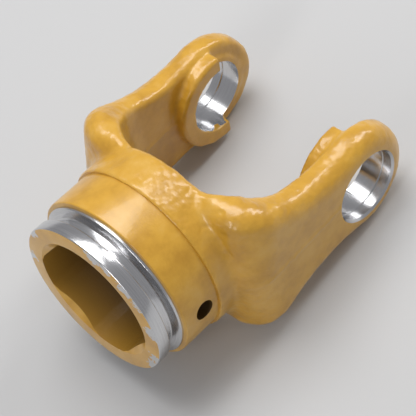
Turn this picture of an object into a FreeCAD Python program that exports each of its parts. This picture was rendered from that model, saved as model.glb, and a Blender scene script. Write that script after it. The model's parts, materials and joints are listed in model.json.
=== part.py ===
"""Forged steel yoke of a telescopic drive shaft, in one piece.

The hub axis is X, with the hub's end face towards +X. The cross bearing bores run along Y,
through both ears, and meet the hub axis at the origin. The fork is forged between two dies
that part on the plane Z = 0. The hub is turned, and its lobed socket takes the shaft's tube.
"""
import FreeCAD, Part
import math
import os

from FreeCAD import Vector

# ---- Driving dimensions, in millimetres and degrees ----------------------------------------

# Cross bearing seats: one bore through both ears, for the caps of the cross.
seat_r = 15.1
seat_chamfer = 0.9

# Ears: the round ends of the arms, with a machined pad round each bore on the inner side.
ear_outer_y = 48.0
ear_r = 24.0
pad_gap = 59.0
pad_r = 22.3
pad_edge_r = 1.6
pad_front_x = -2.5

# Arms: the waist behind each ear, and the shoulder and elbow where the arm leaves the hub.
arm_inner_y = 34.0
waist_half_z = 22.2
waist_r = 60.0
shoulder_half_z = 34.5
shoulder_r = 12.0
elbow_root_x = 67.5
elbow_r = 12.5
elbow_spread = 9.0
elbow_draft = 5.0
arm_edge_r = 7.5

# Crotch: the U between the arms, wider at the top and bottom by the forging draft.
crotch_x = 55.5
crotch_corner_r = 19.0
crotch_draft = 4.0
crotch_edge_r = 3.0

# Hub: the forged boss, the turned guard seat, and the bearing groove behind the end collar.
boss_r = 38.4
boss_front_x = 74.7
boss_blend_r = 3.5
hub_r = 37.0
hub_front_x = 92.2
hub_chamfer = 0.7
land_r = 35.1
land_front_x = 93.4
groove_r = 30.9
groove_back_x = 94.5
groove_front_x = 98.8
collar_r = 34.4
collar_chamfer = 0.6
end_face_x = 104.6

# Tube socket: a hole with four lobes and four flats. From flats that face the diagonals, it is
# turned by flat_turn about the hub axis. Its lead-in is a cone at the mouth.
lobe_r = 27.2
flat_distance = 24.4
flat_turn = 8.0
lobe_corner_r = 2.0
lead_in = 2.0

# Cross hole for the pin that locks the tube.
pin_hole_r = 4.25
pin_hole_x = 82.1

# ---- Sizes worked out from those -----------------------------------------------------------

CLEAR = 5.0
TOUCH = 0.01
reach_z = boss_r + CLEAR
pad_face_y = pad_gap / 2

# The waist arc touches the ear and the shoulder arc, and the shoulder arc ends level.
waist_z = waist_half_z + waist_r
waist_x = math.sqrt((ear_r + waist_r) ** 2 - waist_z ** 2)
shoulder_z = shoulder_half_z - shoulder_r
shoulder_x = waist_x + math.sqrt((waist_r + shoulder_r) ** 2 - (waist_z - shoulder_z) ** 2)

# At rest the yoke lies on both ears and on the boss's edge in the crotch: a tangent to both arcs.
rest_edge_z = boss_r - crotch_edge_r
rest_edge_x = (crotch_x + rest_edge_z * math.tan(math.radians(crotch_draft))
               + crotch_edge_r / math.cos(math.radians(crotch_draft)))
rest_tilt = math.degrees(math.atan2(rest_edge_z, rest_edge_x)
                         - math.asin((ear_r - crotch_edge_r) / math.hypot(rest_edge_x, rest_edge_z)))


def arc_edge(centre, radius, start, end, place):
    """An arc in a plane that place(a, b) maps to space; start and end are angles in degrees."""
    points = []
    for share in (0.0, 0.5, 1.0):
        angle = math.radians(start + (end - start) * share)
        points.append(place(centre[0] + radius * math.cos(angle), centre[1] + radius * math.sin(angle)))
    return Part.Arc(*points).toShape()


def middle(edge):
    """The point halfway along an edge."""
    return edge.valueAt((edge.FirstParameter + edge.LastParameter) / 2)


def is_on(shape, point):
    """Whether a point lies in or on a shape."""
    return shape.distToShape(Part.Vertex(point))[0] < TOUCH


def lies_on(edge, lines):
    """Whether an edge runs along one of some other edges."""
    return any(is_on(line, middle(edge)) for line in lines)


def face_of(edges):
    """A flat face inside a closed loop of edges."""
    return Part.Face(Part.Wire(Part.__sortEdges__(edges)))


def plan_section(height):
    """The fork's outline seen along Z, at a height above the parting plane."""
    def place(x, y):
        return Vector(x, y, height)

    radius = elbow_r + abs(height) * math.tan(math.radians(elbow_spread))
    root_x = elbow_root_x - abs(height) * math.tan(math.radians(elbow_draft))
    elbow_x = root_x - radius
    elbow_y = ear_outer_y - radius
    tip_x = -ear_r - CLEAR
    edges = [
        Part.makeLine(place(tip_x, -ear_outer_y), place(elbow_x, -ear_outer_y)),
        arc_edge((elbow_x, -elbow_y), radius, -90, 0, place),
        Part.makeLine(place(root_x, -elbow_y), place(root_x, elbow_y)),
        arc_edge((elbow_x, elbow_y), radius, 0, 90, place),
        Part.makeLine(place(elbow_x, ear_outer_y), place(tip_x, ear_outer_y)),
        Part.makeLine(place(tip_x, ear_outer_y), place(tip_x, -ear_outer_y)),
    ]
    return Part.Wire(edges)


def tapered(section):
    """A block that two dies part on Z = 0, from a section that changes with the height."""
    upper = Part.makeLoft([section(0), section(reach_z)], True, True)
    lower = Part.makeLoft([section(0), section(-reach_z)], True, True)
    return upper.fuse(lower)


def fork_from_side():
    """The fork's outline seen along Y: round ear, hollow waist, and the shoulder at the hub."""
    half_width = ear_outer_y + CLEAR
    to_waist = math.degrees(math.atan2(waist_z, waist_x))
    to_shoulder = math.degrees(math.atan2(shoulder_z - waist_z, shoulder_x - waist_x))
    back_x = elbow_root_x + CLEAR
    edges = []
    for side in (1, -1):
        def place(x, z):
            return Vector(x, -half_width, side * z)

        edges += [
            arc_edge((0, 0), ear_r, 180, to_waist, place),
            arc_edge((waist_x, waist_z), waist_r, to_waist - 180, to_shoulder, place),
            arc_edge((shoulder_x, shoulder_z), shoulder_r, to_shoulder + 180, 90, place),
            Part.makeLine(place(shoulder_x, shoulder_half_z), place(back_x, shoulder_half_z)),
        ]
    edges.append(Part.makeLine(
        Vector(back_x, -half_width, shoulder_half_z), Vector(back_x, -half_width, -shoulder_half_z)))
    return face_of(edges).extrude(Vector(0, 2 * half_width, 0))


def fork_block():
    """The two outlines crossed, with the long forged edges rounded."""
    above = tapered(plan_section)
    aside = fork_from_side()
    block = above.common(aside).removeSplitter()
    crossed = [edge for edge in block.Edges if not lies_on(edge, above.Edges + aside.Edges)]
    return block.makeFillet(arm_edge_r, crossed)


def crotch_section(height):
    """The U between the arms at a height above the parting plane."""
    def place(x, y):
        return Vector(x, y, height)

    spread = abs(height) * math.tan(math.radians(crotch_draft))
    half = arm_inner_y + spread
    bottom_x = crotch_x + spread
    corner = crotch_corner_r + spread
    corner_x = bottom_x - corner
    corner_y = half - corner
    open_x = -ear_r - 2 * CLEAR
    edges = [
        Part.makeLine(place(open_x, -half), place(corner_x, -half)),
        arc_edge((corner_x, -corner_y), corner, -90, 0, place),
        Part.makeLine(place(bottom_x, -corner_y), place(bottom_x, corner_y)),
        arc_edge((corner_x, corner_y), corner, 0, 90, place),
        Part.makeLine(place(corner_x, half), place(open_x, half)),
        Part.makeLine(place(open_x, half), place(open_x, -half)),
    ]
    return Part.Wire(edges)


def forged_boss():
    """The round boss that carries the fork."""
    length = boss_front_x - crotch_x + CLEAR
    return Part.makeCylinder(boss_r, length, Vector(crotch_x - CLEAR, 0, 0), Vector(1, 0, 0))


def blend_boss(body, crotch):
    """Fills the inner corner where the fork grows out of the boss."""
    corner = []
    for edge in body.Edges:
        point = middle(edge)
        on_boss = abs(math.hypot(point.y, point.z) - boss_r) < TOUCH
        on_fork = abs(point.y) > TOUCH and point.x < elbow_root_x + TOUCH
        if on_boss and on_fork and not is_on(crotch, point):
            corner.append(edge)
    return body.makeFillet(boss_blend_r, corner)


def round_crotch(body, crotch):
    """Rounds the edges that the crotch leaves on the arms and on the boss."""
    sharp = []
    for edge in body.Edges:
        point = middle(edge)
        if is_on(crotch, point) and not lies_on(edge, crotch.Edges):
            sharp.append(edge)
    return body.makeFillet(crotch_edge_r, sharp)


def forging():
    """The blank as it leaves the dies: fork and boss, with the space between the arms."""
    crotch = tapered(crotch_section)
    blank = fork_block().fuse(forged_boss()).removeSplitter().cut(crotch).removeSplitter()
    return round_crotch(blend_boss(blank, crotch), crotch)


def bearing_pad(side):
    """The raised pad round the bore on the inner side of one ear, cut straight at the tip."""
    depth = arm_inner_y + crotch_edge_r - pad_face_y
    pad = Part.makeCylinder(pad_r, depth, Vector(0, side * pad_face_y, 0), Vector(0, side, 0))
    tip_corner = Vector(pad_front_x - 2 * pad_r, -ear_outer_y, -pad_r)
    tip = Part.makeBox(2 * pad_r, 2 * ear_outer_y, 2 * pad_r, tip_corner)
    pad = pad.cut(tip)
    rim = [edge for edge in pad.Edges if abs(middle(edge).y - side * pad_face_y) < TOUCH]
    rim = [edge for edge in rim if middle(edge).x > pad_front_x + TOUCH]
    return pad.makeFillet(pad_edge_r, rim)


def turned_hub():
    """The turned end of the hub: guard seat, land, bearing groove and end collar."""
    profile = [
        (boss_front_x - CLEAR, 0),
        (boss_front_x - CLEAR, hub_r),
        (hub_front_x - hub_chamfer, hub_r),
        (hub_front_x, hub_r - hub_chamfer),
        (hub_front_x, land_r),
        (land_front_x, land_r),
        (groove_back_x, groove_r),
        (groove_front_x, groove_r),
        (groove_front_x, collar_r - collar_chamfer),
        (groove_front_x + collar_chamfer, collar_r),
        (end_face_x - collar_chamfer, collar_r),
        (end_face_x, collar_r - collar_chamfer),
        (end_face_x, 0),
    ]
    points = [Vector(x, 0, r) for x, r in profile]
    return Part.Face(Part.makePolygon(points + points[:1])).revolve(Vector(), Vector(1, 0, 0), 360)


def tube_socket():
    """The lobed hole for the shaft's tube, right through the hub, with its conical lead-in."""
    back_x = crotch_x - crotch_corner_r
    length = end_face_x - back_x
    lobes = Part.makeCylinder(lobe_r, length, Vector(back_x, 0, 0), Vector(1, 0, 0))
    flats_corner = Vector(back_x, -flat_distance, -flat_distance)
    flats = Part.makeBox(length, 2 * flat_distance, 2 * flat_distance, flats_corner)
    flats.rotate(Vector(), Vector(1, 0, 0), 45 + flat_turn)
    socket = lobes.common(flats)
    lengthwise = [edge for edge in socket.Edges if edge.BoundBox.XLength > length / 2]
    corners = [edge for edge in lengthwise if is_on(flats.Shells[0], middle(edge))]
    socket = socket.makeFillet(lobe_corner_r, corners)
    cone = Part.makeCone(flat_distance, lobe_r, lead_in, Vector(end_face_x - lead_in, 0, 0), Vector(1, 0, 0))
    return socket.fuse(cone)


def bearing_seat():
    """The bore through both ears, with a chamfer at each outer face."""
    seat = Part.makeCylinder(seat_r, 2 * ear_outer_y, Vector(0, -ear_outer_y, 0), Vector(0, 1, 0))
    for side in (1, -1):
        chamfer = Part.makeCone(seat_r, seat_r + seat_chamfer, seat_chamfer,
                                Vector(0, side * (ear_outer_y - seat_chamfer), 0), Vector(0, side, 0))
        seat = seat.fuse(chamfer)
    return seat


def pin_hole():
    """The cross hole for the pin, through both walls of the hub."""
    reach_y = hub_r + CLEAR
    return Part.makeCylinder(pin_hole_r, 2 * reach_y, Vector(pin_hole_x, -reach_y, 0), Vector(0, 1, 0))


blank = forging().fuse([bearing_pad(1), bearing_pad(-1), turned_hub()]).removeSplitter()
yoke = blank.cut([tube_socket(), bearing_seat(), pin_hole()]).removeSplitter()
yoke.rotate(Vector(), Vector(0, 1, 0), -rest_tilt)

os.makedirs("parts", exist_ok=True)
yoke.exportStep("parts/yoke.step")
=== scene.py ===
"""A forged drive shaft yoke, painted golden yellow, with its turned bands and bores left bare."""

import json
import math

import bmesh
import bpy
from mathutils import Euler, Matrix, Vector, noise


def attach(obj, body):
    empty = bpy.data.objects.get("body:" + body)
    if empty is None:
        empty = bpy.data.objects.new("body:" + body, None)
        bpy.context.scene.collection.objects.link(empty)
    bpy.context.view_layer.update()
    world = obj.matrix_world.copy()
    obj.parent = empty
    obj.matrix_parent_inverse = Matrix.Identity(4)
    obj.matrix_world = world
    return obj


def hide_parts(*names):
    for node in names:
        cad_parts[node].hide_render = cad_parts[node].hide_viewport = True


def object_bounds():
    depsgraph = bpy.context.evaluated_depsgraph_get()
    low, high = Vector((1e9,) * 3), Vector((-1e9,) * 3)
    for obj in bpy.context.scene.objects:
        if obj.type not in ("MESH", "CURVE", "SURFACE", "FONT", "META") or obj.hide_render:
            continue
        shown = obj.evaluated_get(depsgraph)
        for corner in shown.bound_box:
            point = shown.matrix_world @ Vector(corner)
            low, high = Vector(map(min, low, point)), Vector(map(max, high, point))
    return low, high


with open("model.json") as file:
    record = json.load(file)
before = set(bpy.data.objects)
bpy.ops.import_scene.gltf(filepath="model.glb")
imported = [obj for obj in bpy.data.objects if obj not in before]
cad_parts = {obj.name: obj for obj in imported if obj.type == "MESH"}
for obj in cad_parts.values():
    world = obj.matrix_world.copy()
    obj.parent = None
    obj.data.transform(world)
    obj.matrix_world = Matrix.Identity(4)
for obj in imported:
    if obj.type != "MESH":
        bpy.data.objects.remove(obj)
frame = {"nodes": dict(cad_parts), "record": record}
cad_low, cad_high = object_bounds()

# ---- How the yoke lies ----------------------------------------------------------------------
# It rests on both ears and on the crotch's edge, so its hub axis rises from +X. Everything below
# is shaped with that axis along X and the cross bores along Y, and then turned to where it lies.
MM = 0.001
mounts = {mount["name"]: mount for mount in frame["record"]["mounts"]}
hub_axis = Vector(mounts["tube_socket"]["axis"])
rise = math.atan2(hub_axis.z, hub_axis.x)
to_rest = Matrix.Rotation(-rise, 4, "Y")
end_face_x = Vector(mounts["tube_socket"]["pos_m"]).length


# ---- Paint ----------------------------------------------------------------------------------
# One coat of glossy golden yellow, sprayed over the rough forging. It is darker in some places
# and paler in others, and has a fine orange-peel skin.
def new_material(name):
    material = bpy.data.materials.new(name)
    material.use_nodes = True
    tree = material.node_tree
    shader = tree.nodes["Principled BSDF"]
    return material, tree, shader


def hub_coordinates(tree):
    """Object coordinates turned back so that X runs along the hub's axis, in millimetres."""
    place = tree.nodes.new("ShaderNodeTexCoord")
    turn = tree.nodes.new("ShaderNodeMapping")
    turn.inputs["Rotation"].default_value = Euler((0, rise, 0))
    turn.inputs["Scale"].default_value = (1 / MM, 1 / MM, 1 / MM)
    tree.links.new(place.outputs["Object"], turn.inputs["Vector"])
    return turn.outputs["Vector"]


def noise_node(tree, vector, scale, detail, roughness=0.5):
    node = tree.nodes.new("ShaderNodeTexNoise")
    node.inputs["Scale"].default_value = scale
    node.inputs["Detail"].default_value = detail
    node.inputs["Roughness"].default_value = roughness
    tree.links.new(vector, node.inputs["Vector"])
    return node.outputs["Fac"]


def ramp_node(tree, factor, stops):
    node = tree.nodes.new("ShaderNodeValToRGB")
    ramp = node.color_ramp
    while len(ramp.elements) < len(stops):
        ramp.elements.new(0.5)
    for element, (position, color) in zip(ramp.elements, stops):
        element.position = position
        element.color = (*color, 1)
    tree.links.new(factor, node.inputs["Fac"])
    return node.outputs["Color"]


def bump_node(tree, height, distance, strength):
    node = tree.nodes.new("ShaderNodeBump")
    node.inputs["Distance"].default_value = distance
    node.inputs["Strength"].default_value = strength
    tree.links.new(height, node.inputs["Height"])
    return node.outputs["Normal"]


def paint_material():
    material, tree, shader = new_material("golden_paint")
    where = hub_coordinates(tree)
    tone = ramp_node(tree, noise_node(tree, where, 0.09, 4, 0.6), [
        (0.30, (0.50, 0.255, 0.022)),
        (0.55, (0.62, 0.335, 0.035)),
        (0.75, (0.66, 0.385, 0.070)),
    ])
    tree.links.new(tone, shader.inputs["Base Color"])
    shader.inputs["Roughness"].default_value = 0.30
    shader.inputs["Coat Weight"].default_value = 0.35
    shader.inputs["Coat Roughness"].default_value = 0.12
    orange_peel = noise_node(tree, where, 1.4, 3)
    tree.links.new(bump_node(tree, orange_peel, 0.12 * MM, 0.6), shader.inputs["Normal"])
    return material


paint = paint_material()


# ---- Bare steel -----------------------------------------------------------------------------
# The bores, the land, the groove and the end collar are turned bright, with fine rings that
# run round each axis.
def steel_material(name, stretch):
    material, tree, shader = new_material(name)
    where = hub_coordinates(tree)
    drawn_out = tree.nodes.new("ShaderNodeMapping")
    drawn_out.inputs["Scale"].default_value = stretch
    tree.links.new(where, drawn_out.inputs["Vector"])
    rings = noise_node(tree, drawn_out.outputs["Vector"], 1.0, 3, 0.7)
    tone = ramp_node(tree, rings, [(0.3, (0.50, 0.50, 0.51)), (0.7, (0.72, 0.72, 0.73))])
    tree.links.new(tone, shader.inputs["Base Color"])
    shader.inputs["Metallic"].default_value = 1.0
    shader.inputs["Roughness"].default_value = 0.20
    tree.links.new(bump_node(tree, rings, 0.02 * MM, 0.5), shader.inputs["Normal"])
    return material


hub_steel = steel_material("turned_steel", (9, 0.05, 0.05))
bore_steel = steel_material("bored_steel", (0.05, 9, 0.05))


# ---- The forging ----------------------------------------------------------------------------
# Both ears, the arms, the crotch and the boss as they leave the dies: every corner soft and the
# skin rough. The holes are closed first, since they are only machined later.
def linked(name, bm, materials):
    """Turns a bmesh into an object in the scene."""
    mesh = bpy.data.meshes.new(name)
    bm.to_mesh(mesh)
    bm.free()
    obj = bpy.data.objects.new(name, mesh)
    bpy.context.scene.collection.objects.link(obj)
    for material in materials:
        mesh.materials.append(material)
    return obj


def settled(obj):
    """Bakes an object's modifiers into its mesh."""
    bpy.context.view_layer.update()
    depsgraph = bpy.context.evaluated_depsgraph_get()
    mesh = bpy.data.meshes.new_from_object(obj.evaluated_get(depsgraph))
    obj.modifiers.clear()
    obj.data = mesh


def rod(bm, radius, length, middle, axis, segments=64):
    """A plain cylinder round a middle point, along the X or the Y axis."""
    lay_down = Matrix.Rotation(math.pi / 2, 4, "Y" if axis == "X" else "X")
    bmesh.ops.create_cone(bm, cap_ends=True, segments=segments, radius1=radius, radius2=radius,
                          depth=length, matrix=Matrix.Translation(middle) @ lay_down)


seat_r = mounts["cross_bores"]["dims"]["r_mm"] * MM
ear_outer_y = 48 * MM
arm_inner_y = 34 * MM
crotch_bottom_x = end_face_x - mounts["tube_socket"]["dims"]["length_mm"] * MM
seat_plug_r = seat_r + 2 * MM
socket_plug_r = 32 * MM
socket_plug_length = end_face_x - crotch_bottom_x - 4 * MM

forging_mesh = bmesh.new()
forging_mesh.from_mesh(frame["nodes"]["yoke"].data)
bmesh.ops.remove_doubles(forging_mesh, verts=forging_mesh.verts[:], dist=1e-6)
bmesh.ops.transform(forging_mesh, matrix=to_rest.inverted(), verts=forging_mesh.verts[:])
for side in (1, -1):
    ear_middle = (0, side * (ear_outer_y + arm_inner_y) / 2, 0)
    rod(forging_mesh, seat_plug_r, ear_outer_y - arm_inner_y, ear_middle, "Y")
socket_plug_middle = (end_face_x - socket_plug_length / 2, 0, 0)
rod(forging_mesh, socket_plug_r, socket_plug_length, socket_plug_middle, "X")
forging = linked("forging", forging_mesh, [paint])
remesh = forging.modifiers.new("skin", "REMESH")
remesh.mode = "VOXEL"
remesh.voxel_size = 0.72 * MM
soften = forging.modifiers.new("soften", "SMOOTH")
soften.factor = 0.5
soften.iterations = 5
settled(forging)


def trim_scar(point, normal):
    """The torn line along one outer wall where the flash was sheared off, with drag marks below."""
    x, y, z = (value / MM for value in point)
    if normal.y < 0.5 or not 14 < x < 58:
        return 0.0
    line_z = 3.0 - 0.07 * (x - 15) + 1.2 * noise.noise(Vector((x / 2.5, 4, 0)))
    ridge = 0.30 * math.exp(-((z - line_z) / 0.9) ** 2)
    below = 1.0 if x > 43 and line_z - 9 < z < line_z else 0.0
    drag = 0.14 * below * noise.noise(Vector((x / 0.9, 0, z / 9)))
    return ridge + drag


def die_skin(point, normal):
    """How far the forged skin stands out: low swells, grain and pits, calmer on flat sides."""
    swell = noise.noise(point / (4.5 * MM)) * 0.22
    grain = noise.noise(point / (1.7 * MM) + Vector((7, 3, 5))) * 0.15
    pits = max(0.0, noise.noise(point / (2.4 * MM) + Vector((1, 9, 2))) - 0.25) * 0.45
    flat_side = abs(normal.y) ** 4
    return ((swell + grain - pits) * (1 - 0.75 * flat_side) + trim_scar(point, normal)) * MM


skin_mesh = bmesh.new()
skin_mesh.from_mesh(forging.data)
for vertex in skin_mesh.verts:
    vertex.co += vertex.normal * die_skin(vertex.co, vertex.normal)
skin_mesh.to_mesh(forging.data)
skin_mesh.free()


# ---- Machining of the fork ------------------------------------------------------------------
# Each ear is bored for its bearing cap, with a fine ring inside and a chamfer outside. The pads
# round the bores are milled flat, and cut straight on the tip side. The boss is faced.
def turn_profile(bm, profile, axis, segments):
    """Spins (along, radius) points about the X or the Y axis into a closed turned shape."""
    ring = []
    for along, radius in profile:
        place = Vector((along, 0, radius)) if axis == "X" else Vector((0, along, radius))
        ring.append(bm.verts.new(place))
    edges = [bm.edges.new((a, b)) for a, b in zip(ring, ring[1:])]
    line = Vector((1, 0, 0)) if axis == "X" else Vector((0, 1, 0))
    bmesh.ops.spin(bm, geom=ring + edges, cent=Vector(), axis=line, angle=math.tau, steps=segments,
                   use_merge=True)
    bmesh.ops.remove_doubles(bm, verts=bm.verts[:], dist=1e-7)
    bmesh.ops.recalc_face_normals(bm, faces=bm.faces[:])


def box_tool(name, low, high):
    """A milling cut between two corners, painted over afterwards."""
    bm = bmesh.new()
    size = Vector(high) - Vector(low)
    middle = (Vector(high) + Vector(low)) / 2
    bmesh.ops.create_cube(bm, size=1, matrix=Matrix.Translation(middle) @ Matrix.Diagonal((*size, 1)))
    return linked(name, bm, [paint])


seat_chamfer = 0.9 * MM
ring_y = ear_outer_y - 5 * MM
ring_size = 0.3 * MM
pad_face_y = mounts["pad_left"]["pos_m"][1]
pad_front_x = -2.5 * MM
tip_inner_y = 33.5 * MM
shoulder_x = 74.7 * MM
clear = 6 * MM
mill_reach = 30 * MM
pad_back_x = 25 * MM
facing_r = 60 * MM

half_seat = [
    (ring_y - ring_size, seat_r),
    (ring_y, seat_r + ring_size),
    (ring_y + ring_size, seat_r),
    (ear_outer_y - seat_chamfer, seat_r),
    (ear_outer_y + clear, seat_r + seat_chamfer + clear),
    (ear_outer_y + clear, 0),
]
bore_mesh = bmesh.new()
turn_profile(bore_mesh, [(-y, r) for y, r in reversed(half_seat)] + half_seat, "Y", 128)
bore_tool = linked("bore_tool", bore_mesh, [bore_steel])
pad_tool = box_tool("pad_tool", (-mill_reach, -pad_face_y, -mill_reach),
                    (pad_back_x, pad_face_y, mill_reach))
tip_tool = box_tool("tip_tool", (-mill_reach, -tip_inner_y, -mill_reach),
                    (pad_front_x, tip_inner_y, mill_reach))
facing_mesh = bmesh.new()
turn_profile(facing_mesh, [
    (shoulder_x, 0),
    (shoulder_x, facing_r),
    (end_face_x + clear, facing_r),
    (end_face_x + clear, 0),
], "X", 96)
facing_tool = linked("facing_tool", facing_mesh, [paint])


# ---- Tube socket ----------------------------------------------------------------------------
# A hole with four lobes and four flats right through the hub. Its walls carry painted shade:
# brown at the mouth and gone to black deeper in, where less light reaches.
def map_node(tree, value, low, high):
    node = tree.nodes.new("ShaderNodeMapRange")
    node.inputs["From Min"].default_value = low
    node.inputs["From Max"].default_value = high
    tree.links.new(value, node.inputs["Value"])
    return node.outputs["Result"]


def socket_shade_material():
    material, tree, shader = new_material("socket_shade_paint")
    where = hub_coordinates(tree)
    split = tree.nodes.new("ShaderNodeSeparateXYZ")
    tree.links.new(where, split.inputs["Vector"])
    # Painted shade: the walls darken from brown at the mouth to black deeper in the hole.
    tone = ramp_node(tree, map_node(tree, split.outputs["X"], 60, 104), [
        (0.0, (0.015, 0.010, 0.005)),
        (0.6, (0.10, 0.050, 0.009)),
        (1.0, (0.40, 0.210, 0.025)),
    ])
    tree.links.new(tone, shader.inputs["Base Color"])
    shader.inputs["Roughness"].default_value = 0.45
    rough_wall = noise_node(tree, where, 0.8, 3)
    tree.links.new(bump_node(tree, rough_wall, 0.2 * MM, 0.6), shader.inputs["Normal"])
    return material


socket_shade_paint = socket_shade_material()
lobe_r = 27.2 * MM
flat_distance = 24.4 * MM
flat_turn = math.radians(45 + 8)
corner_angle = math.radians(4)
socket_overrun = 8 * MM


def socket_tool(name):
    """The lobed prism that opens the socket, a little longer than the hub at both ends."""
    half_flat = math.acos(flat_distance / lobe_r)
    outline = []
    for quarter in range(4):
        middle = flat_turn + quarter * math.pi / 2
        for step in range(-6, 7):
            angle = middle + (half_flat - corner_angle) * step / 6
            outline.append((angle, flat_distance / math.cos(angle - middle)))
        lobe_start = middle + half_flat + corner_angle
        lobe_end = middle + math.pi / 2 - half_flat - corner_angle
        for step in range(9):
            outline.append((lobe_start + (lobe_end - lobe_start) * step / 8, lobe_r))
    back_x = crotch_bottom_x - socket_overrun
    bm = bmesh.new()
    ring = [bm.verts.new((back_x, r * math.cos(a), r * math.sin(a))) for a, r in outline]
    made = bmesh.ops.extrude_face_region(bm, geom=[bm.faces.new(ring)])
    moved = [item for item in made["geom"] if isinstance(item, bmesh.types.BMVert)]
    bmesh.ops.translate(bm, verts=moved, vec=(end_face_x + clear - back_x, 0, 0))
    bmesh.ops.recalc_face_normals(bm, faces=bm.faces[:])
    return linked(name, bm, [socket_shade_paint])


def cut(obj, cutter):
    """Takes a tool's shape out of an object. The new faces keep the tool's own materials."""
    boolean = obj.modifiers.new(cutter.name, "BOOLEAN")
    boolean.operation = "DIFFERENCE"
    boolean.solver = "EXACT"
    boolean.material_mode = "TRANSFER"
    boolean.object = cutter
    settled(obj)
    bpy.data.objects.remove(cutter)


def finish(obj, sharp_degrees):
    """Lays a finished piece where it rests, shades it smooth and fixes it to the yoke."""
    obj.data.transform(to_rest)
    obj.data.shade_smooth()
    obj.data.set_sharp_from_angle(angle=math.radians(sharp_degrees))
    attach(obj, "root")
    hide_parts("yoke")


for tool in (pad_tool, tip_tool, facing_tool, socket_tool("fork_socket_tool"), bore_tool):
    cut(forging, tool)
finish(forging, 35)


# ---- The hub --------------------------------------------------------------------------------
# A smooth painted band, a narrow bright land, the groove that the guard's ring runs in, and the
# collar at the end. The painted end face is knocked bare in patches along its rim.
def math_node(tree, operation, first, second):
    node = tree.nodes.new("ShaderNodeMath")
    node.operation = operation
    for socket, value in zip(node.inputs, (first, second)):
        if isinstance(value, bpy.types.NodeSocket):
            tree.links.new(value, socket)
        else:
            socket.default_value = value
    return node.outputs["Value"]


def worn_face_material():
    """The same paint, with steel showing where a patch and ragged noise add up."""
    material = paint.copy()
    material.name = "worn_paint"
    tree = material.node_tree
    shader = tree.nodes["Principled BSDF"]
    where = hub_coordinates(tree)
    bare = None
    for patch_y, patch_z, reach in (
        (-29, 20, 4.0), (-33, 2, 3.0), (8, 33, 4.5), (14, 31, 3.5), (23, 25, 4.5),
        (28, 20, 3.5), (33, 6, 4.5), (31, -13, 4.0), (28, -19, 4.0),
    ):
        distance = tree.nodes.new("ShaderNodeVectorMath")
        distance.operation = "DISTANCE"
        tree.links.new(where, distance.inputs[0])
        distance.inputs[1].default_value = (end_face_x / MM, patch_y, patch_z)
        away = math_node(tree, "DIVIDE", distance.outputs["Value"], 10)
        inside = math_node(tree, "SUBTRACT", reach / 10, away)
        bare = inside if bare is None else math_node(tree, "MAXIMUM", bare, inside)
    torn = math_node(tree, "ADD", bare, noise_node(tree, where, 0.45, 4, 0.65))
    mask = map_node(tree, torn, 0.56, 0.60)
    painted = shader.inputs["Base Color"].links[0].from_socket
    mix = tree.nodes.new("ShaderNodeMix")
    mix.data_type = "RGBA"
    tree.links.new(mask, mix.inputs[0])
    tree.links.new(painted, mix.inputs[6])
    mix.inputs[7].default_value = (0.62, 0.62, 0.63, 1)
    tree.links.new(mix.outputs[2], shader.inputs["Base Color"])
    tree.links.new(mask, shader.inputs["Metallic"])
    return material


def rim_edges(bm, x, radius):
    """The edges of one turned rim."""
    def on_rim(vertex):
        return abs(vertex.co.x - x) < 1e-6 and abs(math.hypot(*vertex.co.yz) - radius) < 1e-6
    return [edge for edge in bm.edges if on_rim(edge.verts[0]) and on_rim(edge.verts[1])]


worn_paint = worn_face_material()
hub_r = 37.0 * MM
band_front_x = 92.2 * MM
land_r = 35.1 * MM
land_front_x = 93.4 * MM
groove_r = 30.9 * MM
groove_back_x = 94.5 * MM
groove_front_x = 98.8 * MM
collar_r = 34.4 * MM

hub_mesh = bmesh.new()
turn_profile(hub_mesh, [
    (shoulder_x, 0),
    (shoulder_x, hub_r),
    (band_front_x, hub_r),
    (band_front_x, land_r),
    (land_front_x, land_r),
    (groove_back_x, groove_r),
    (groove_front_x, groove_r),
    (groove_front_x, collar_r),
    (end_face_x, collar_r),
    (end_face_x, 0),
], "X", 256)
for rim_x, rim_r, width in (
    (band_front_x, hub_r, 0.7 * MM),
    (land_front_x, land_r, 0.25 * MM),
    (groove_back_x, groove_r, 0.5 * MM),
    (groove_front_x, groove_r, 0.4 * MM),
    (groove_front_x, collar_r, 0.6 * MM),
    (end_face_x, collar_r, 0.6 * MM),
):
    bmesh.ops.bevel(hub_mesh, geom=rim_edges(hub_mesh, rim_x, rim_r), offset=width, segments=3,
                    profile=0.5, affect="EDGES", material=-1)
hub = linked("hub", hub_mesh, [paint, hub_steel, worn_paint])
for polygon in hub.data.polygons:
    if polygon.center.x >= end_face_x - 0.1 * MM:
        polygon.material_index = 2
    elif polygon.center.x > band_front_x + 0.01 * MM:
        polygon.material_index = 1

# The socket is opened by a cone at its mouth, and a pin hole goes across through both walls.
lead_in = 2 * MM
lead_mouth_r = 30.0 * MM
lead_mesh = bmesh.new()
turn_profile(lead_mesh, [
    (end_face_x - lead_in, 0),
    (end_face_x - lead_in, flat_distance),
    (end_face_x + lead_in, lead_mouth_r),
    (end_face_x + lead_in, 0),
], "X", 128)
lead_tool = linked("lead_tool", lead_mesh, [paint])
pin_r = mounts["pin_hole"]["dims"]["r_mm"] * MM
pin_x = Vector(mounts["pin_hole"]["pos_m"]).length
pin_mesh = bmesh.new()
rod(pin_mesh, pin_r, 3 * hub_r, (pin_x, 0, 0), "Y")
# The pin hole's walls take the same painted shade as the socket.
pin_tool = linked("pin_tool", pin_mesh, [socket_shade_paint])
for tool in (socket_tool("hub_socket_tool"), lead_tool, pin_tool):
    cut(hub, tool)
finish(hub, 30)

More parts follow.
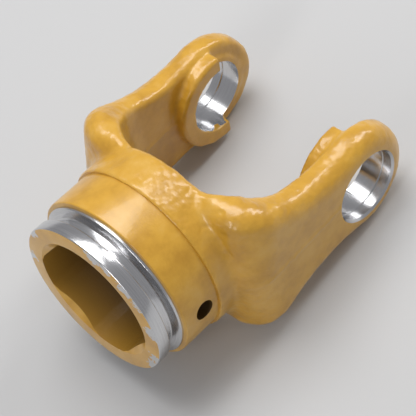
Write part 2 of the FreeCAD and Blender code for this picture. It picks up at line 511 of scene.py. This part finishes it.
# ---- Table, light and camera ----------------------------------------------------------------
# The yoke lies on a plain pale table, under large soft lamps.
floor_mesh = bmesh.new()
bmesh.ops.create_grid(floor_mesh, x_segments=1, y_segments=1, size=3.0,
                      matrix=Matrix.Translation((0, 0, cad_low[2])))
floor_material, floor_tree, floor_shader = new_material("table")
floor_shader.inputs["Base Color"].default_value = (0.54, 0.54, 0.54, 1)
floor_shader.inputs["Roughness"].default_value = 0.9
floor_shader.inputs["Specular IOR Level"].default_value = 0.0
floor = linked("table", floor_mesh, [floor_material])

lamp_target = Vector((0.04, 0, 0))
for lamp_name, place, size, power in (
    ("overhead", (-0.25, -0.35, 1.3), (0.9, 0.9), 14),
    ("from_behind", (-1.1, 0.1, 0.8), (0.25, 1.0), 7),
    ("from_hub_side", (1.2, 0.2, 0.7), (0.2, 0.9), 4),
):
    light = bpy.data.lights.new(lamp_name, "AREA")
    light.shape = "RECTANGLE"
    light.size, light.size_y = size
    light.energy = power
    lamp = bpy.data.objects.new(lamp_name, light)
    lamp.location = place
    lamp.rotation_euler = (lamp_target - Vector(place)).to_track_quat("-Z", "Y").to_euler()
    bpy.context.scene.collection.objects.link(lamp)

world = bpy.data.worlds.new("studio")
bpy.context.scene.world = world
world.use_nodes = True
world.node_tree.nodes["Background"].inputs["Color"].default_value = (0.62, 0.62, 0.64, 1)
world.node_tree.nodes["Background"].inputs["Strength"].default_value = 0.55

camera_data = bpy.data.cameras.new("camera")
camera_data.lens = 147.1
camera_data.sensor_width = 36
camera_data.clip_start = 0.01
camera = bpy.data.objects.new("camera", camera_data)
azimuth = math.radians(66.63)
elevation = math.radians(57.13)
roll = Matrix.Rotation(math.radians(-29.98), 4, "Z")
distance = 0.680
target = Vector((40.4, -4.35, -5.5)) * MM
back = Vector((
    math.cos(azimuth) * math.cos(elevation),
    math.sin(azimuth) * math.cos(elevation),
    math.sin(elevation),
))
level = back.to_track_quat("Z", "Y").to_matrix().to_4x4()
camera.matrix_world = Matrix.Translation(target + back * distance) @ level @ roll
bpy.context.scene.collection.objects.link(camera)
bpy.context.scene.camera = camera
bpy.context.scene.view_settings.view_transform = "Standard"
